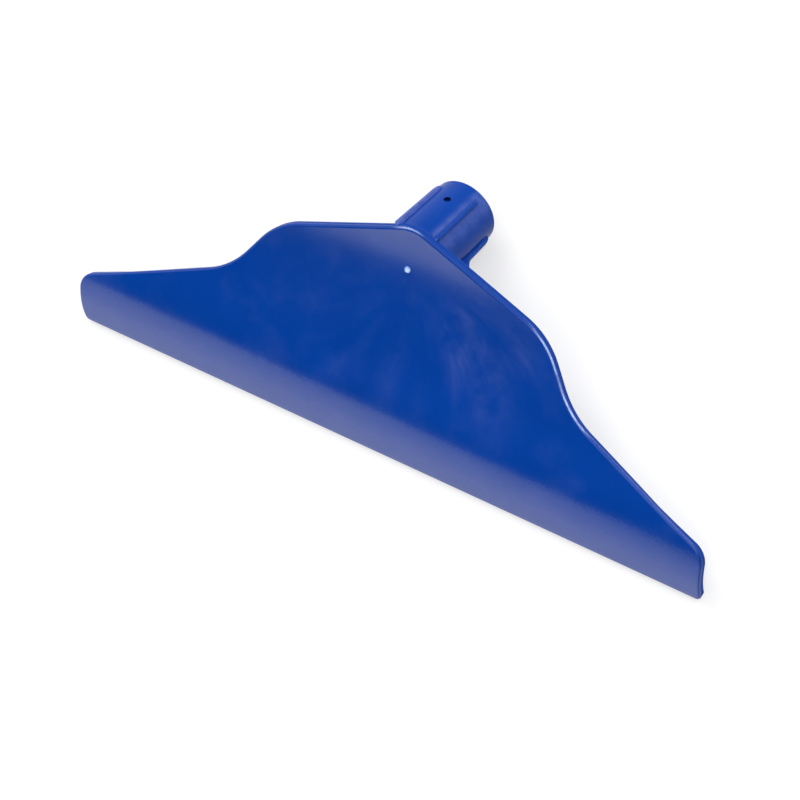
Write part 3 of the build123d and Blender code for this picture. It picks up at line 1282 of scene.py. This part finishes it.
@dataclass(frozen=True)
class RoomPatch:
    """Soft-edged part of the room with a brightness of its own, by direction and angles from its middle."""

    azimuth: float
    elevation: float
    inner: float
    outer: float
    level: float


@dataclass
class Studio:
    """Pale floor, soft lamps, room and camera. The camera is placed in the blade's frame, in millimetres."""

    camera_place: tuple = (529.48, 263.0, 1103.12)
    camera_aim: tuple = (12.448, -3.412, 0.0)
    camera_roll: float = 18.475
    camera_lens: float = 121.5
    film_width: float = 36.0
    floor_half: float = 4.0
    floor_colour: tuple = (0.48, 0.48, 0.48)
    floor_glow: float = 0.55
    room_level: float = 1.1
    patches: tuple = (
        RoomPatch(75.0, 88.0, 22.0, 49.0, 1.4),
        RoomPatch(211.0, 45.0, 29.0, 40.0, 0.0),
        RoomPatch(345.0, 4.0, 26.0, 48.0, 0.0),
        RoomPatch(100.0, 12.0, 30.0, 48.0, 0.0),
    )
    lamps: tuple = (
        Softbox("key_lamp", 325.0, 45.0, 28.0, 12.0, 10.0),
        Softbox("side_lamp", 55.0, 52.0, 34.0, 8.0, 9.0),
        Softbox("front_lamp", 210.0, 13.0, 30.0, 26.0, 2.3),
        Softbox("back_lamp", 18.0, 5.0, 11.0, 10.0, 18.0),
    )

    def build(self, rest: RestingPlace) -> None:
        """Sets everything round the object.

        Args:
            rest: How the blade lies.
        """
        self.floor()
        self.surround()
        for lamp in self.lamps:
            lamp.build()
            log.info("lamp %s", lamp.name)
        self.camera(rest)
        bpy.context.scene.view_settings.view_transform = "Standard"

    def seen(self, sheet: Sheet) -> Wire:
        """Whether the camera sees a place straight, in gloss or through glass.

        Args:
            sheet: Node tree to add to.

        Returns:
            1 or 0.
        """
        kinds = ("Is Camera Ray", "Is Glossy Ray", "Is Transmission Ray")
        camera, glossy, through = [sheet.node("LightPath", {}, {}, output=kind) for kind in kinds]
        return (camera + glossy + through).eased(Ramp(0.0, 1.0))

    def floor(self) -> None:
        """A wide pale floor that reads as white and keeps the object's shadow."""
        half = self.floor_half
        corners = np.array([(-half, -half, 0.0), (half, -half, 0.0), (half, half, 0.0), (-half, half, 0.0)])
        ground = make_object("floor", corners, [(0, 1, 2, 3)], None)
        made = bpy.data.materials.new("pale_floor")
        sheet = Sheet(made)
        glow = self.seen(sheet).blend(BLACK, WHITE)
        sheet.surface({"Base Color": self.floor_colour, "Roughness": 1.0, "Specular IOR Level": 0.0,
                       "Emission Color": glow, "Emission Strength": self.floor_glow})
        ground.data.materials.append(made)

    def surround(self) -> None:
        """Even light from the room, but for its patches."""
        world = bpy.data.worlds.new("surround")
        bpy.context.scene.world = world
        sheet = Sheet(world)
        outwards = sheet.node("TexCoord", {}, {}, output="Generated")
        level: Any = self.room_level
        for patch in self.patches:
            ends = {0: outwards, 1: tuple(toward(patch.azimuth, patch.elevation))}
            facing = sheet.node("VectorMath", {"operation": "DOT_PRODUCT"}, ends, output="Value")
            outer, inner = [math.cos(math.radians(angle)) for angle in (patch.outer, patch.inner)]
            level = level + facing.eased(Ramp(outer, inner)) * (patch.level - level)
        light = sheet.node("Background", {}, {"Color": WHITE, "Strength": level})
        sheet.node("OutputWorld", {}, {"Surface": light})

    def camera(self, rest: RestingPlace) -> None:
        """The camera of the photograph.

        Args:
            rest: How the blade lies.
        """
        place, aim = np.array(self.camera_place), np.array(self.camera_aim)
        forward = unit(aim - place)
        level = unit(np.cross(forward, (0.0, 1.0, 0.0)))
        upright = np.cross(level, forward)
        roll = math.radians(self.camera_roll)
        right = math.cos(roll) * level + math.sin(roll) * upright
        up = math.cos(roll) * upright - math.sin(roll) * level
        turned = rest.direction(np.stack([right, up, -forward]))
        lens = bpy.data.cameras.new("camera")
        lens.sensor_width, lens.lens, lens.dof.use_dof = self.film_width, self.camera_lens, False
        made = bpy.data.objects.new("camera", lens)
        made.matrix_world = Matrix.Translation(Vector(rest.point(place))) @ Matrix(turned.T.tolist()).to_4x4()
        bpy.context.scene.collection.objects.link(made)
        bpy.context.scene.camera = made


def resting_place(record: dict, socket: HandleSocket) -> RestingPlace:
    """Works out how the blade lies from where the frame has the socket's bore and screw hole.

    Args:
        record: Record of the frame.
        socket: The socket.

    Returns:
        How the blade lies.
    """
    mounts = {mount["name"]: mount for mount in record["mounts"]}
    out = mounts["handle_bore"]["axis"]
    into = socket.axes[2]
    turn = math.atan2(out[2], out[1]) - math.atan2(-into[2], -into[1])
    matrix = np.array(Matrix.Rotation(turn, 3, "X"))
    hole = np.array(mounts["handle_screw_hole"]["pos_m"]) / MM
    return RestingPlace(matrix, hole - matrix @ socket.hole_centre)


def dress(piece: Object, material: Material, slot: Slot, *nodes: str) -> None:
    """Gives a piece its material and says what it stands for.

    Args:
        piece: The piece.
        material: Its finish.
        slot: Its slot in the record; not used.
        nodes: The frame's nodes whose place it takes.
    """
    piece.data.materials.clear()
    piece.data.materials.append(material)
    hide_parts(*nodes)
    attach(piece, BODY)
    log.info("%s: %d points, for %s", piece.name, len(piece.data.vertices), ", ".join(nodes))


def main() -> None:
    """Builds the scraper head and the studio."""
    logging.basicConfig(level=logging.INFO, format="%(message)s")
    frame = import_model()
    socket = HandleSocket()
    rest = resting_place(frame["record"], socket)
    pip, blade = GatePip(), Blade()
    gate = rest.spot(blade.face_point(0.0, pip.height))
    bend = rest.spot(blade.face_point(0.0, 0.0))
    gloss = MouldedPlastic("gloss_plastic", mottling=0.07, gate=gate, bend=bend[1]).material()
    # The rim's rounded edge carries painted highlights in its colour.
    highlight_plastic = MouldedPlastic("painted_highlight_plastic", specular=0.3, painted_highlights=blade.painted_highlights(rest)).material()
    # Both socket finishes carry strips of painted sheen in their colour.
    satin = socket.finish("satin_plastic", rest, socket.wall_painted_sheen)
    ribbed = socket.finish("rib_plastic", rest, socket.rib_painted_sheen)
    dull = MouldedPlastic("dull_plastic", roughness=0.55, specular=0.1).material()
    pale = WhitenedPlastic("whitened_plastic", gate, pip.radius).material()
    plate = blade.build(rest)
    dress(plate, gloss, Slot.BLUE, "blade_plate", "scraping_lip")
    blade.dress_rim(plate, highlight_plastic, dull)
    dress(socket.build(rest), satin, Slot.BLUE, "handle_socket")
    ribs = {"upper_right": False, "side_right": True, "under": True, "side_left": True, "upper_left": False}
    for index, (where, spreads) in enumerate(ribs.items()):
        rib = SocketRib(socket, f"rib_{where}", (index + 0.5) * 2 * math.pi / len(ribs), spreads)
        dress(rib.build(rest), ribbed, Slot.BLUE, f"socket_rib_{where}")
    dress(pip.build(rest), pale, Slot.WHITENED, "gate_pip")
    Studio().build(rest)


if __name__ == "__main__":
    main()
